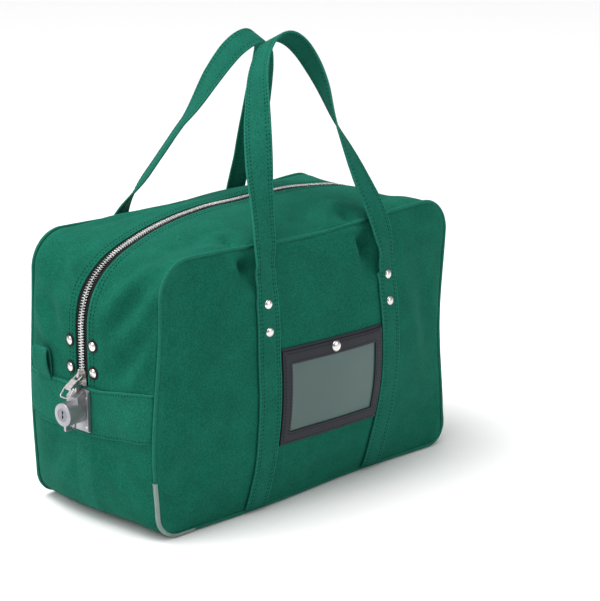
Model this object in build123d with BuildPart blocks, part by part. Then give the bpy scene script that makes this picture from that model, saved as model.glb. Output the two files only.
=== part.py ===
"""Cash deposit bag: a canvas boston bag with a metal zipper, a key lock and two strap handles."""

from build123d import *
import math
import os

os.makedirs("parts", exist_ok=True)

# The bag's body, in millimetres. X runs along the bag, the lock is at -X and the window pocket at -Y.
length = 450
depth = 200
height = 300
top_radius = 42
bottom_radius = 28
foot_gap = 0.8  # the seam piping stands this far off the ground
cloth = 2.0  # canvas with its lining
end_bulge = 19  # how far the gusset stands out halfway between the two panels
panel_bulge = 28  # how far the front and back panels stand out at their middles
gap = 0.05  # between layers that lie on each other, and round each shank

# Seam piping
piping_d = 5.0
piping_cord_d = 3.0
seam = piping_d / 2
guard_d = 6.6
guard_top = 76
guard_reach = 48

# Gusset: the strip that joins the two panels, crowned across its width
seam_inset = 1.0
seam_slack = 0.2
half_gusset = depth / 2 - seam - seam_slack
end_x = length / 2 - seam_inset
top_z = height - seam_inset
crown_r = (depth / 2) ** 2 / (2 * end_bulge) + end_bulge / 2
crest = end_bulge - crown_r  # the crown arc's centre, measured outwards from the seam line
zip_slot = 9.0  # from the middle of the zip to the edge of the canvas
band_low = 105
band_high = 153
band_t = 1.6
board_t = 2.5

# Zip
tape_t = 1.0
tape_in = 1.4
tape_out = 24
tooth_pitch = 3.0
tooth_long = 1.3
tooth_reach = 3.8
tooth_gap = 0.65  # from the middle of the zip to a tooth's head
tooth_high = 2.8
teeth_start = 156
zip_foot = band_high + 0.3  # where the top gusset and the tapes start
rivet_rows = (171, 200)
rivet_y = 18
rivet_cap_r = 4.8
washer_r = 7.0
washer_t = 0.8
shank_r = 1.6
burr_t = 0.9

# Straps and handles
strap_x = 91
strap_w = 30
strap_t = 2.4
fold_z = 240
strap_rivet_rows = (203, 233)
strap_cap_r = 5.3
strap_foot = 7  # the straps end just above the bottom piping

# Pocket on the front panel
pocket_w = 148
pocket_low = 73
pocket_high = 181
window_w = 124
window_low = 87
window_high = 163
vinyl = 0.7
snap_z = 171
snap_r = 5.0
snap_shank_r = 1.0
snap_stem_r = 1.5
rivet_reach = 8  # longer than any stack of cloth a rivet goes through
block_deep = 60

# Lock
lock_z = 128
plate_x = -245.3
plate_t = 1.5
plate_w = 30
plate_low = 106
plate_high = 152
rim_w = 1.8
rim_high = 2.2
lock_rivet_y = 10.95
lock_rivet_rows = (112, 143)
lock_rivet_r = 1.3
lock_hole_r = 1.4
lock_cap_r = 2.1
lock_burr_x = -238.1
boss_r = 12.5
boss_x = -271
block_w = 17.4
block_x = -258
eyelet_in = -254
eyelet_out = -268
eyelet_drop = 6.6
pin_orbit = 3.0
pin_r = 0.9
plug_r = 5.0
head_r = 7.2
head_deep = 2.0
key_w = 2.2
key_h = 3.7
running = 0.05

# Slider and pull, all measured with the slider at the lock
slider_low = 154.2
slider_high = 171
pivot_x = -245.7
pivot_z = 165
pull_slope = 34


def save(part, name):
    """Label a finished piece and write its STEP file."""
    part.label = name
    export_step(part, f"parts/{name}.step")


# ---------------------------------------------------------------- shared shapes


def panel_outline(inset, y):
    """Rounded outline of a panel, drawn inside the piping's outer edge."""
    with BuildSketch(Plane.XZ.offset(-y)) as sketch:
        with Locations((0, (height + foot_gap) / 2)):
            Rectangle(length - 2 * inset, height - foot_gap - 2 * inset)
        fillet(sketch.vertices().group_by(Axis.Y)[-1], top_radius - inset)
        fillet(sketch.vertices().group_by(Axis.Y)[0], bottom_radius - inset)
    return sketch.sketch


def panel_height(x, z):
    """How far a panel stands out from the seam plane at x, z."""
    across = 1 - (2 * x / length) ** 2
    up = 1 - (2 * z / height - 1) ** 2
    return panel_bulge * across * up


def panel_layer(side, lift, thickness):
    """A layer that follows the panel's crown, from lift to lift + thickness outside its inner face."""
    seam_y = side * (depth / 2 - cloth / 2 + lift)
    peak_y = seam_y + side * 4 * panel_bulge
    columns = (-length / 2, 0, length / 2)
    rows = (0, height / 2, height)
    net = [[(x, peak_y if x == 0 and z == rows[1] else seam_y, z) for z in rows] for x in columns]
    face = Face.make_bezier_surface(net)
    return Solid.extrude(face, Vector(0, side * thickness, 0))


def panel_plane(side, x, z, lift):
    """A plane on the crowned panel, facing outwards, lifted from its inner face."""
    slope_x = panel_bulge * (1 - (2 * z / height - 1) ** 2) * (-8 * x / length**2)
    slope_z = panel_bulge * (1 - (2 * x / length) ** 2) * (-4 / height) * (2 * z / height - 1)
    outward = Vector(-slope_x, side, -slope_z).normalized()
    surface = Vector(x, side * (depth / 2 - cloth / 2 + panel_height(x, z)), z)
    return Plane(surface + outward * lift, x_dir=(0, 0, 1), z_dir=outward)


def crown_band(plane, lift, thickness, y_low, y_high):
    """Cross-section of a gusset layer: part of a ring about the crown's centre, lift in from its outside."""
    with BuildSketch(plane) as sketch:
        with Locations((0, crest)):
            Circle(crown_r + lift)
            Circle(crown_r + lift - thickness, mode=Mode.SUBTRACT)
        with Locations(((y_low + y_high) / 2, end_bulge - 8)):
            Rectangle(y_high - y_low, 60, mode=Mode.INTERSECT)
    return sketch.sketch


def end_section(side, z):
    """Section plane across an end of the bag: local X is +Y, local Y points out of the end."""
    return Plane((side * end_x, 0, z), x_dir=(0, -side, 0), z_dir=(0, 0, 1))


def end_plane(side, y, z, lift):
    """A plane on the crowned end gusset, facing outwards."""
    angle = math.asin(y / crown_r)
    outward = Vector(side * math.cos(angle), math.sin(angle), 0)
    centre = Vector(side * (end_x + crest), 0, z)
    return Plane(centre + outward * (crown_r + lift), x_dir=(0, 0, 1), z_dir=outward)


def over_the_top(z_start):
    """Seam line from the left end, over the top, to the right end."""
    corner = top_radius - seam_inset
    with BuildLine(Plane.XZ) as line:
        Line((-end_x, z_start), (-end_x, top_z - corner))
        RadiusArc((-end_x, top_z - corner), (-end_x + corner, top_z), corner)
        Line((-end_x + corner, top_z), (end_x - corner, top_z))
        RadiusArc((end_x - corner, top_z), (end_x, top_z - corner), corner)
        Line((end_x, top_z - corner), (end_x, z_start))
    return line.wire()


def under_the_bottom(z_start):
    """Seam line from the left end, round the bottom, to the right end."""
    corner = bottom_radius - seam_inset
    with BuildLine(Plane.XZ) as line:
        Line((-end_x, z_start), (-end_x, corner))
        RadiusArc((-end_x, corner), (-end_x + corner, 0), -corner)
        Line((-end_x + corner, 0), (end_x - corner, 0))
        RadiusArc((end_x - corner, 0), (end_x, corner), -corner)
        Line((end_x, corner), (end_x, z_start))
    return line.wire()


def end_rivet_planes(lift):
    """The four rivets at each end of the zip."""
    return [
        end_plane(side, y, z, lift)
        for side in (-1, 1)
        for y in (-rivet_y, rivet_y)
        for z in rivet_rows
    ]


def strap_rivet_planes(side, lift):
    """The two rivets on each leg of a handle strap."""
    return [panel_plane(side, x, z, lift) for x in (-strap_x, strap_x) for z in strap_rivet_rows]


def drill(planes, radius, reach):
    """Pierce the piece under construction along each plane's normal."""
    for plane in planes:
        with BuildSketch(plane.offset(-reach)) as hole:
            Circle(radius)
        extrude(hole.sketch, amount=2 * reach, mode=Mode.SUBTRACT)


def dome(plane, radius, rise, edge):
    """A domed cap standing on a plane."""
    cap_r = (radius**2 + rise**2) / (2 * rise)
    with BuildSketch(Plane(plane.origin, x_dir=plane.z_dir, z_dir=plane.x_dir)) as half:
        with BuildLine():
            Polyline((edge + rise, 0), (0, 0), (0, radius), (edge, radius))
            RadiusArc((edge, radius), (edge + rise, 0), cap_r)
        make_face()
    revolve(half.sketch, axis=Axis(plane.origin, plane.z_dir))


# ---------------------------------------------------------------- panels and gusset

panels = {"front": -1, "back": 1}

for word, side in panels.items():
    with BuildPart() as panel:
        extrude(panel_outline(piping_d + 0.1, 0), amount=-side * depth)
        add(panel_layer(side, 0, cloth), mode=Mode.INTERSECT)
        drill(strap_rivet_planes(side, 0), shank_r + gap, rivet_reach)
        if side < 0:
            drill([panel_plane(side, 0, snap_z, 0)], snap_shank_r + gap, rivet_reach)
    save(panel.part, f"{word}_panel")

for word, side in panels.items():
    low, high = sorted((side * zip_slot, side * half_gusset))
    with BuildPart() as top_gusset:
        section = crown_band(end_section(-1, zip_foot), 0, cloth, low, high)
        sweep(section, path=over_the_top(zip_foot))
        drill(end_rivet_planes(0), shank_r + gap, rivet_reach)
    save(top_gusset.part, f"top_gusset_{word}")

foot_x = length / 2 - bottom_radius
foot_end = math.sqrt((bottom_radius - seam_inset + end_bulge) ** 2 - (bottom_radius - seam_inset) ** 2)
foot_side = 7.2

lock_rivet_holes = [
    Plane((-end_x, y, z), z_dir=(-1, 0, 0)) for y in (-lock_rivet_y, lock_rivet_y) for z in lock_rivet_rows
]

with BuildPart() as lower_gusset:
    section = crown_band(end_section(-1, band_high), 0, cloth, -half_gusset, half_gusset)
    sweep(section, path=under_the_bottom(band_high))
    split(bisect_by=Plane.XY, keep=Keep.TOP)
    with BuildSketch():
        with BuildLine():
            for side in (-1, 1):
                ThreePointArc(
                    (side * (foot_x + foot_side), -half_gusset),
                    (side * (foot_x + foot_end), 0),
                    (side * (foot_x + foot_side), half_gusset),
                )
                Line(
                    (-foot_x - foot_side, side * half_gusset),
                    (foot_x + foot_side, side * half_gusset),
                )
        make_face()
    extrude(amount=cloth)
    drill(lock_rivet_holes, lock_hole_r, 30)
save(lower_gusset.part, "lower_gusset")

for word, side in {"left": -1, "right": 1}.items():
    with BuildPart() as end_band:
        section = crown_band(end_section(side, band_low), gap + band_t, band_t, -half_gusset, half_gusset)
        extrude(section, amount=band_high - band_low)
        if side < 0:
            drill(lock_rivet_holes, lock_hole_r, 30)
    save(end_band.part, f"{word}_end_band")

with BuildPart() as base_board:
    with BuildSketch(Plane.XY.offset(cloth + gap)):
        RectangleRounded(2 * foot_x - 6, 2 * half_gusset - 12, 14)
    extrude(amount=board_t)
save(base_board.part, "base_board")

# ---------------------------------------------------------------- seam piping and its guard

for word, side in panels.items():
    route = panel_outline(seam, side * depth / 2).wire()
    start = Plane(route @ 0, z_dir=route % 0)
    with BuildPart() as piping:
        with BuildSketch(start):
            Circle(piping_d / 2)
            Circle(piping_cord_d / 2 + gap, mode=Mode.SUBTRACT)
        sweep(path=route)
    save(piping.part, f"{word}_piping")
    with BuildPart() as piping_cord:
        with BuildSketch(start):
            Circle(piping_cord_d / 2)
        sweep(path=route)
    save(piping_cord.part, f"{word}_piping_cord")

guard_x = -length / 2 + seam
guard_z = foot_gap + seam
guard_bend = bottom_radius - seam
with BuildPart() as corner_guard:
    with BuildLine(Plane.XZ.offset(depth / 2)) as guard_line:
        Line((guard_x, guard_top), (guard_x, guard_z + guard_bend))
        RadiusArc((guard_x, guard_z + guard_bend), (guard_x + guard_bend, guard_z), -guard_bend)
        Line((guard_x + guard_bend, guard_z), (guard_x + guard_reach, guard_z))
    with BuildSketch(Plane((guard_x, -depth / 2, guard_top), x_dir=(0, 1, 0), z_dir=(0, 0, -1))):
        Circle(guard_d / 2)
        Circle(piping_d / 2 + gap, mode=Mode.SUBTRACT)
        with Locations((guard_d / 2 + 0.4, 0), (0, guard_d / 2 + 0.4)):
            Rectangle(guard_d, guard_d, mode=Mode.SUBTRACT)
    sweep(path=guard_line.wire())
save(corner_guard.part, "corner_guard")

# ---------------------------------------------------------------- zip

for word, side in panels.items():
    low, high = sorted((side * tape_in, side * tape_out))
    with BuildPart() as zip_tape:
        section = crown_band(end_section(-1, zip_foot), -cloth - gap, tape_t, low, high)
        sweep(section, path=over_the_top(zip_foot))
        drill(end_rivet_planes(0), shank_r + gap, rivet_reach)
    save(zip_tape.part, f"zip_tape_{word}")

tooth_route = over_the_top(teeth_start)
tooth_steps = int(tooth_route.length / tooth_pitch)
tooth_mid = end_bulge - cloth - gap - tape_t / 2


def tooth_plane(step):
    """Where a tooth stands: local X is +Y and local Y points out of the bag."""
    along = step / tooth_steps
    forward = tooth_route % along
    outward = forward.cross(Vector(0, 1, 0))
    return Plane(tooth_route @ along + outward * tooth_mid, x_dir=(0, 1, 0), z_dir=forward)


for word, side in panels.items():
    shift = 0 if side < 0 else 0.5
    with BuildPart() as tooth:
        with BuildSketch():
            with Locations((side * (tooth_gap + tooth_reach) / 2, 0)):
                Rectangle(tooth_reach - tooth_gap, tooth_high)
            with Locations((side * (tape_in - gap + tooth_reach), 0)):
                Rectangle(2 * tooth_reach, tape_t + 2 * gap, mode=Mode.SUBTRACT)
        extrude(amount=tooth_long / 2, both=True)
    places = [tooth_plane(step + shift).location for step in range(1, tooth_steps - 1)]
    zip_teeth = Compound([tooth.part.solid().moved(place) for place in places])
    save(zip_teeth, f"zip_teeth_{word}")

with BuildPart() as zip_end_stop:
    with BuildSketch(end_section(1, band_high + 0.5)):
        with Locations((0, tooth_mid)):
            Rectangle(2 * tooth_reach, tooth_high + 0.6)
            Rectangle(2 * tooth_reach + 4, tape_t + 0.3, mode=Mode.SUBTRACT)
            Rectangle(2 * tape_in - 0.4, tooth_high)
    extrude(amount=3)
save(zip_end_stop.part, "zip_end_stop")

with BuildPart() as zip_end_washers:
    for plane in end_rivet_planes(0.15):
        with BuildSketch(plane):
            Circle(washer_r)
            Circle(shank_r + gap, mode=Mode.SUBTRACT)
        extrude(amount=washer_t)
save(zip_end_washers.part, "zip_end_washers")

with BuildPart() as zip_end_rivets:
    for plane in end_rivet_planes(1.0):
        dome(plane, rivet_cap_r, 1.5, 0.5)
    for plane in end_rivet_planes(-5.2):
        with BuildSketch(plane):
            Circle(shank_r)
        extrude(amount=6.4)
save(zip_end_rivets.part, "zip_end_rivets")

with BuildPart() as zip_end_burrs:
    for plane in end_rivet_planes(-4.2):
        with BuildSketch(plane):
            Circle(rivet_cap_r)
            Circle(shank_r + gap, mode=Mode.SUBTRACT)
        extrude(amount=burr_t)
save(zip_end_burrs.part, "zip_end_burrs")

# ---------------------------------------------------------------- straps and handles

strap_lift = cloth + 0.1

for word, side in panels.items():
    with BuildPart() as strap_legs:
        with BuildSketch(Plane.XZ):
            for x in (-strap_x, strap_x):
                with Locations((x, (fold_z + strap_foot) / 2)):
                    Rectangle(strap_w, fold_z - strap_foot - 0.4)
        extrude(amount=-side * depth)
        add(panel_layer(side, strap_lift, strap_t), mode=Mode.INTERSECT)
        drill(strap_rivet_planes(side, strap_lift), shank_r + gap, rivet_reach)
    save(strap_legs.part, f"{word}_strap_legs")

    with BuildPart() as strap_rivets:
        for plane in strap_rivet_planes(side, strap_lift + strap_t + 0.1):
            dome(plane, strap_cap_r, 1.8, 0.5)
        for plane in strap_rivet_planes(side, -1.0):
            with BuildSketch(plane):
                Circle(shank_r)
            extrude(amount=strap_lift + strap_t + 1.2)
    save(strap_rivets.part, f"{word}_handle_rivets")

    with BuildPart() as strap_burrs:
        for plane in strap_rivet_planes(side, -1.1):
            with BuildSketch(plane):
                Circle(strap_cap_r)
                Circle(shank_r + gap, mode=Mode.SUBTRACT)
            extrude(amount=burr_t)
    save(strap_burrs.part, f"{word}_handle_burrs")


def smooth_point(points, along):
    """Point on a Catmull-Rom curve through the points, with along from 0 to 1."""
    spans = len(points) - 1
    span = min(int(along * spans), spans - 1)
    t = along * spans - span
    p1, p2 = points[span], points[span + 1]
    p0 = points[span - 1] if span > 0 else p1 * 2 - p2
    p3 = points[span + 2] if span + 2 <= spans else p2 * 2 - p1
    second = p0 * 2 - p1 * 5 + p2 * 4 - p3
    third = p1 * 3 - p0 - p2 * 3 + p3
    return (p1 * 2 + (p2 - p0) * t + second * t**2 + third * t**3) * 0.5


def strap_mid(x, z):
    """How far a strap lying on the panel has its middle from the bag's middle plane."""
    return depth / 2 - cloth / 2 + panel_height(x, z) + strap_lift + strap_t / 2


# Where each handle's middle line passes, as x and z. Its lean follows from z.
handle_lines = {
    "front": (
        (-91, 240.4), (-90, 270), (-82, 303), (-62, 355), (-38, 412), (-14, 460), (14, 487),
        (42, 493), (63, 478), (75, 440), (79, 390), (86, 345), (91, 303), (91, 270), (91, 240.4),
    ),
    "back": (
        (-91, 240.4), (-90, 270), (-83, 303), (-57, 355), (-32, 405), (-14, 450), (6, 480),
        (31, 490), (53, 476), (68, 435), (79, 390), (86, 345), (91, 303), (91, 270), (91, 240.4),
    ),
}
apex_z = 493
apex_y = 17
over_z = 303
over_y = 108.5


def handle_point(side, x, z):
    """A point of the handle: down the panel, over the piping, then leaning in to the middle."""
    if z > over_z:
        y = over_y + (apex_y - over_y) * (z - over_z) / (apex_z - over_z)
    else:
        share = (z - fold_z) / (over_z - fold_z)
        y = (strap_mid(strap_x, fold_z) + 0.8) * (1 - share) + over_y * share
    return Vector(x, side * y, z)


handle_sections = 30

for word, side in panels.items():
    points = [handle_point(side, x, z) for x, z in handle_lines[word]]
    lean = (points[7] - (points[3] + points[11]) / 2).normalized()
    outward = lean.cross(Vector(1, 0, 0)).normalized()
    if outward.Y * side < 0:
        outward = outward * -1
    sections = []
    for step in range(handle_sections + 1):
        along = step / handle_sections
        here = smooth_point(points, along)
        ahead = smooth_point(points, min(along + 0.01, 1))
        behind = smooth_point(points, max(along - 0.01, 0))
        tangent = (ahead - behind).normalized()
        radial = tangent.cross(outward).normalized()
        if radial.dot(lean) < 0:
            radial = radial * -1
        if tangent.Z < 0 and radial.X < 0 or tangent.Z > 0 and radial.X > 0:
            radial = radial * -1
        turn = min(max((here.Z - over_z) / (apex_z - over_z), 0), 1)
        turn = turn**2 * (3 - 2 * turn) * math.pi / 2
        facing = outward * math.cos(turn) + radial * math.sin(turn)
        width = tangent.cross(facing).normalized()
        with BuildSketch(Plane(here, x_dir=width, z_dir=tangent)) as section:
            Rectangle(strap_w, strap_t)
        sections.append(section.sketch.face())
    with BuildPart() as handle:
        loft(sections, ruled=True)
    save(handle.part, f"{word}_handle_loop")

# ---------------------------------------------------------------- window pocket

backing_lift = cloth + 0.1
window_lift = backing_lift + vinyl + 1.3
frame_lift = window_lift + 0.5
frame_top = pocket_high - 3
welt_w = 5
pocket_back_plane = Plane.XZ.offset(depth / 2 - 10)


def pocket_slab(width, low, high):
    """A block through the front panel, to be trimmed to one layer of the pocket."""
    with BuildSketch(pocket_back_plane) as outline:
        with Locations((0, (low + high) / 2)):
            RectangleRounded(width, high - low, 3)
    extrude(outline.sketch, amount=block_deep)


with BuildPart() as pocket_backing:
    pocket_slab(pocket_w, pocket_low, pocket_high)
    add(panel_layer(-1, backing_lift, vinyl), mode=Mode.INTERSECT)
    drill([panel_plane(-1, 0, snap_z, 0)], snap_shank_r + gap, rivet_reach)
save(pocket_backing.part, "pocket_backing")

with BuildPart() as pocket_welt:
    pocket_slab(pocket_w, pocket_low, frame_top)
    with BuildSketch(pocket_back_plane):
        with Locations((0, pocket_low + welt_w + pocket_high / 2)):
            Rectangle(pocket_w - 2 * welt_w, pocket_high)
    extrude(amount=block_deep, mode=Mode.SUBTRACT)
    welt_lift = backing_lift + vinyl + gap
    add(panel_layer(-1, welt_lift, frame_lift - gap - welt_lift), mode=Mode.INTERSECT)
save(pocket_welt.part, "pocket_welt")

with BuildPart() as pocket_window:
    pocket_slab(pocket_w - 11, pocket_low + 6, window_high + 2)
    add(panel_layer(-1, window_lift, 0.4), mode=Mode.INTERSECT)
save(pocket_window.part, "pocket_window")

with BuildPart() as pocket_frame:
    pocket_slab(pocket_w, pocket_low, frame_top)
    with BuildSketch(pocket_back_plane):
        with Locations((0, (window_low + window_high) / 2)):
            RectangleRounded(window_w, window_high - window_low, 2)
    extrude(amount=block_deep, mode=Mode.SUBTRACT)
    add(panel_layer(-1, frame_lift, vinyl), mode=Mode.INTERSECT)
    drill([panel_plane(-1, 0, snap_z, 0)], snap_stem_r + gap, rivet_reach)
save(pocket_frame.part, "pocket_frame")

with BuildPart() as snap_cap:
    dome(panel_plane(-1, 0, snap_z, frame_lift + vinyl + 0.15), 6.3, 1.4, 0.5)
    with BuildSketch(panel_plane(-1, 0, snap_z, frame_lift - 0.9)):
        Circle(snap_stem_r)
    extrude(amount=2.0)
save(snap_cap.part, "snap_cap")

with BuildPart() as snap_socket:
    with BuildSketch(panel_plane(-1, 0, snap_z, frame_lift - 1.0)):
        Circle(snap_r + 0.2)
        Circle(snap_stem_r + 0.7, mode=Mode.SUBTRACT)
    extrude(amount=0.85)
save(snap_socket.part, "snap_socket")

with BuildPart() as snap_stud:
    with BuildSketch(panel_plane(-1, 0, snap_z, backing_lift + vinyl + 0.1)):
        Circle(snap_r)
        Circle(snap_shank_r + gap, mode=Mode.SUBTRACT)
    extrude(amount=0.5)
save(snap_stud.part, "snap_stud")

with BuildPart() as snap_post:
    with BuildSketch(panel_plane(-1, 0, snap_z, -1.2)):
        Circle(snap_r)
    extrude(amount=burr_t)
    with BuildSketch(panel_plane(-1, 0, snap_z, -1.0)):
        Circle(snap_shank_r)
    extrude(amount=backing_lift + vinyl + 1.0 + 0.5)
save(snap_post.part, "snap_post")

# ---------------------------------------------------------------- finger loop beside the lock

loop_low = band_high + 0.5
loop_high = 184
loop_y = (50, 77)
loop_in = -239.8
loop_out = -248.2
with BuildPart() as side_loop:
    with BuildSketch(Plane.XZ.offset(-loop_y[1])):
        with Locations(((loop_in + loop_out) / 2, (loop_low + loop_high) / 2)):
            RectangleRounded(loop_in - loop_out, loop_high - loop_low, 3)
            RectangleRounded(loop_in - loop_out - 3.2, loop_high - loop_low - 3.2, 1.8, mode=Mode.SUBTRACT)
    extrude(amount=loop_y[1] - loop_y[0])
save(side_loop.part, "side_loop")

# ---------------------------------------------------------------- lock

plate_face = plate_x - plate_t
backing_x = -239.0


def facing_out(x):
    """A plane across the lock at x. Local X is -Y, local Y is Z and the normal points outwards."""
    return Plane((x, 0, 0), x_dir=(0, -1, 0), z_dir=(-1, 0, 0))


with BuildPart() as lock_base_plate:
    with BuildSketch(facing_out(plate_x)):
        with Locations((0, (plate_low + plate_high) / 2)):
            RectangleRounded(plate_w, plate_high - plate_low, 1.5)
    extrude(amount=plate_t)
    with BuildSketch(facing_out(plate_face)):
        for y in (-plate_w / 2 + rim_w / 2, plate_w / 2 - rim_w / 2):
            with Locations((y, (plate_low + plate_high) / 2)):
                Rectangle(rim_w, plate_high - plate_low - 3)
    extrude(amount=rim_high)
    drill(lock_rivet_holes, lock_hole_r, 60)
save(lock_base_plate.part, "lock_base_plate")

with BuildPart() as lock_backing_plate:
    with BuildSketch(facing_out(backing_x)):
        with Locations((0, (plate_low + plate_high) / 2)):
            RectangleRounded(plate_w - 2, plate_high - plate_low - 2, 2)
    extrude(amount=1.4)
    drill(lock_rivet_holes, lock_hole_r, 60)
save(lock_backing_plate.part, "lock_backing_plate")

with BuildPart() as lock_rivets:
    for hole in lock_rivet_holes:
        y, z = hole.origin.Y, hole.origin.Z
        dome(Plane((plate_face - gap, y, z), x_dir=(0, 0, 1), z_dir=(-1, 0, 0)), lock_cap_r, 1.1, 0.4)
        with BuildSketch(Plane((lock_burr_x - 0.1, y, z), z_dir=(-1, 0, 0))):
            Circle(lock_rivet_r)
        extrude(amount=lock_burr_x - plate_face + 0.2)
        with BuildSketch(Plane((lock_burr_x, y, z), z_dir=(-1, 0, 0))):
            Circle(2 * lock_rivet_r)
        extrude(amount=0.8)
save(lock_rivets.part, "lock_rivets")

block_back = plate_face - gap
block_top = 150.5
block_front_top = 145
cavity_front = -252.8
cavity_half = 7.65
cavity_low = 124.8
cavity_high = 146
tongue_half = 1.0
tongue_in = -247.4
tongue_out = -252.2
tongue_low = 139.6

with BuildPart() as lock_housing:
    with BuildSketch(Plane.XZ.offset(-block_w / 2)):
        with BuildLine():
            Polyline(
                (block_back, lock_z),
                (block_back, block_top),
                (block_back - 2, block_top),
                (block_x, block_front_top),
                (block_x, lock_z),
                close=True,
            )
        make_face()
    extrude(amount=block_w)
    fillet(lock_housing.edges().filter_by(Axis.Z).group_by(Axis.X)[0], 1.2)
    with BuildSketch(facing_out(block_back)):
        with Locations((0, lock_z)):
            Circle(boss_r)
    extrude(amount=block_back - boss_x)
    fillet(lock_housing.faces().sort_by(Axis.X)[0].edges(), 0.8)
    # The eyelet under the boss that takes a seal
    with BuildSketch(Plane.XZ.offset(-1.5)):
        with Locations(((eyelet_in + eyelet_out) / 2, lock_z - boss_r - eyelet_drop / 2 + 1)):
            RectangleRounded(eyelet_in - eyelet_out, eyelet_drop + 2, 1.4)
        with Locations(((eyelet_in + eyelet_out) / 2, lock_z - boss_r - eyelet_drop / 2 + 0.7)):
            Rectangle(eyelet_in - eyelet_out - 4, eyelet_drop - 1.4, mode=Mode.SUBTRACT)
    extrude(amount=3)
    # The bolt's chamber, open at the back
    with BuildSketch(facing_out(block_back)):
        with Locations((0, (cavity_low + cavity_high) / 2)):
            Rectangle(2 * cavity_half, cavity_high - cavity_low)
    extrude(amount=block_back - cavity_front, mode=Mode.SUBTRACT)
    # The slot in the top that the slider's tongue drops into
    with BuildSketch(Plane.XY.offset(144)):
        with Locations(((tongue_in + tongue_out) / 2, 0)):
            Rectangle(tongue_in - tongue_out + 0.8, 2 * tongue_half + 0.7)
    extrude(amount=10, mode=Mode.SUBTRACT)
    # The bore for the plug
    with BuildSketch(facing_out(cavity_front + 1)):
        with Locations((0, lock_z)):
            Circle(plug_r + running)
    extrude(amount=cavity_front + 2 - boss_x, mode=Mode.SUBTRACT)
    with BuildSketch(facing_out(boss_x + head_deep + 0.1)):
        with Locations((0, lock_z)):
            Circle(head_r + running)
    extrude(amount=2 * head_deep, mode=Mode.SUBTRACT)
save(lock_housing.part, "lock_housing")

plug_back = cavity_front - 0.15
with BuildPart() as lock_plug:
    with BuildSketch(facing_out(plug_back)):
        with Locations((0, lock_z)):
            Circle(plug_r)
    extrude(amount=plug_back - boss_x - head_deep)
    with BuildSketch(facing_out(boss_x + head_deep)):
        with Locations((0, lock_z)):
            Circle(head_r)
    extrude(amount=head_deep - 0.3)
    with BuildSketch(facing_out(boss_x - 1)):
        with Locations((0, lock_z + key_h / 2 + 0.5), (0, lock_z - key_h / 2 - 0.5)):
            Rectangle(key_w, key_h)
    extrude(amount=-14, mode=Mode.SUBTRACT)
    crank = pin_orbit * math.sin(math.pi / 4)
    with BuildSketch(facing_out(plug_back + 3.2)):
        with Locations((crank, lock_z + crank)):
            Circle(pin_r)
    extrude(amount=3.6)
save(lock_plug.part, "lock_plug")

bolt_back = -248.6
bolt_t = 2.4
with BuildPart() as lock_bolt:
    with BuildSketch(facing_out(bolt_back)):
        # Local X runs towards -Y, so the leg stands at the front of the chamber
        with Locations(((7.45 - 0.6) / 2, 130.4)):
            Rectangle(7.45 + 0.6, 8.2)
        with Locations(((7.45 + 5.6) / 2, 138)):
            Rectangle(7.45 - 5.6, 13)
        with Locations(((7.45 + 1.4) / 2, 143)):
            Rectangle(7.45 - 1.4, 3)
        with Locations((crank, lock_z + 1.55 + pin_orbit / 2 - 0.9)):
            Rectangle(2 * pin_r + 0.36, 4.2, mode=Mode.SUBTRACT)
    extrude(amount=bolt_t)
save(lock_bolt.part, "lock_bolt")

# ---------------------------------------------------------------- zip slider, pull and ring

outer_in = -242.1
outer_out = -243.4
inner_out = -238.75
inner_in = -237.6
crown_out = -249.2

with BuildPart() as zip_slider:
    # Outer and inner wings, joined by the post that parts the chain
    for x, thickness in ((outer_in, outer_in - outer_out), (inner_in, inner_in - inner_out)):
        with BuildSketch(facing_out(x)):
            with BuildLine():
                Polyline(
                    (-7.2, slider_low),
                    (7.2, slider_low),
                    (7.2, slider_low + 7),
                    (5.8, slider_high),
                    (-5.8, slider_high),
                    (-7.2, slider_low + 7),
                    close=True,
                )
            make_face()
            fillet(vertices(), 1.0)
        extrude(amount=thickness)
    with BuildSketch(facing_out(inner_in)):
        with Locations((0, slider_low + 3)):
            Rectangle(0.9, 6)
    extrude(amount=inner_in - outer_out)
    # The bridge that holds the pull
    with BuildSketch(Plane.XZ.offset(-1.6)):
        with BuildLine():
            Polyline(
                (outer_out + 0.4, pivot_z - 6),
                (crown_out + 2, pivot_z - 5),
                (crown_out, pivot_z - 2.5),
                (crown_out, pivot_z + 2.5),
                (crown_out + 2, pivot_z + 5),
                (outer_out + 0.4, pivot_z + 6),
                close=True,
            )
        make_face()
    extrude(amount=3.2)
    with BuildSketch(Plane.XZ.offset(-2)):
        with Locations(((outer_out + crown_out + 1.6) / 2, pivot_z)):
            RectangleRounded(crown_out * -1 - 1.6 + outer_out, 6.4, 0.8)
    extrude(amount=4, mode=Mode.SUBTRACT)
    # The tongue that the lock's bolt passes through
    with BuildSketch(Plane.XZ.offset(-tongue_half)):
        with BuildLine():
            Polyline(
                (outer_out + 0.4, slider_low),
                (tongue_in, slider_low),
                (tongue_in, tongue_low),
                (tongue_out, tongue_low),
                (tongue_out, 155.6),
                (outer_out + 0.4, 158.6),
                close=True,
            )
        make_face()
        with Locations((bolt_back - bolt_t / 2, 143)):
            Rectangle(bolt_t + 0.6, 3.6, mode=Mode.SUBTRACT)
    extrude(amount=2 * tongue_half)
save(zip_slider.part, "zip_slider")

down_out = Vector(-math.cos(math.radians(pull_slope)), 0, -math.sin(math.radians(pull_slope)))
pivot = Vector(pivot_x, 0, pivot_z)
pull_plane = Plane(pivot, x_dir=down_out, z_dir=(0, 1, 0))
bar_start = 7.0
bar_end = 19.5
bar_w = 10.0
bar_t = 4.6
fork_t = 1.7
ring_at = 17.2

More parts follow.
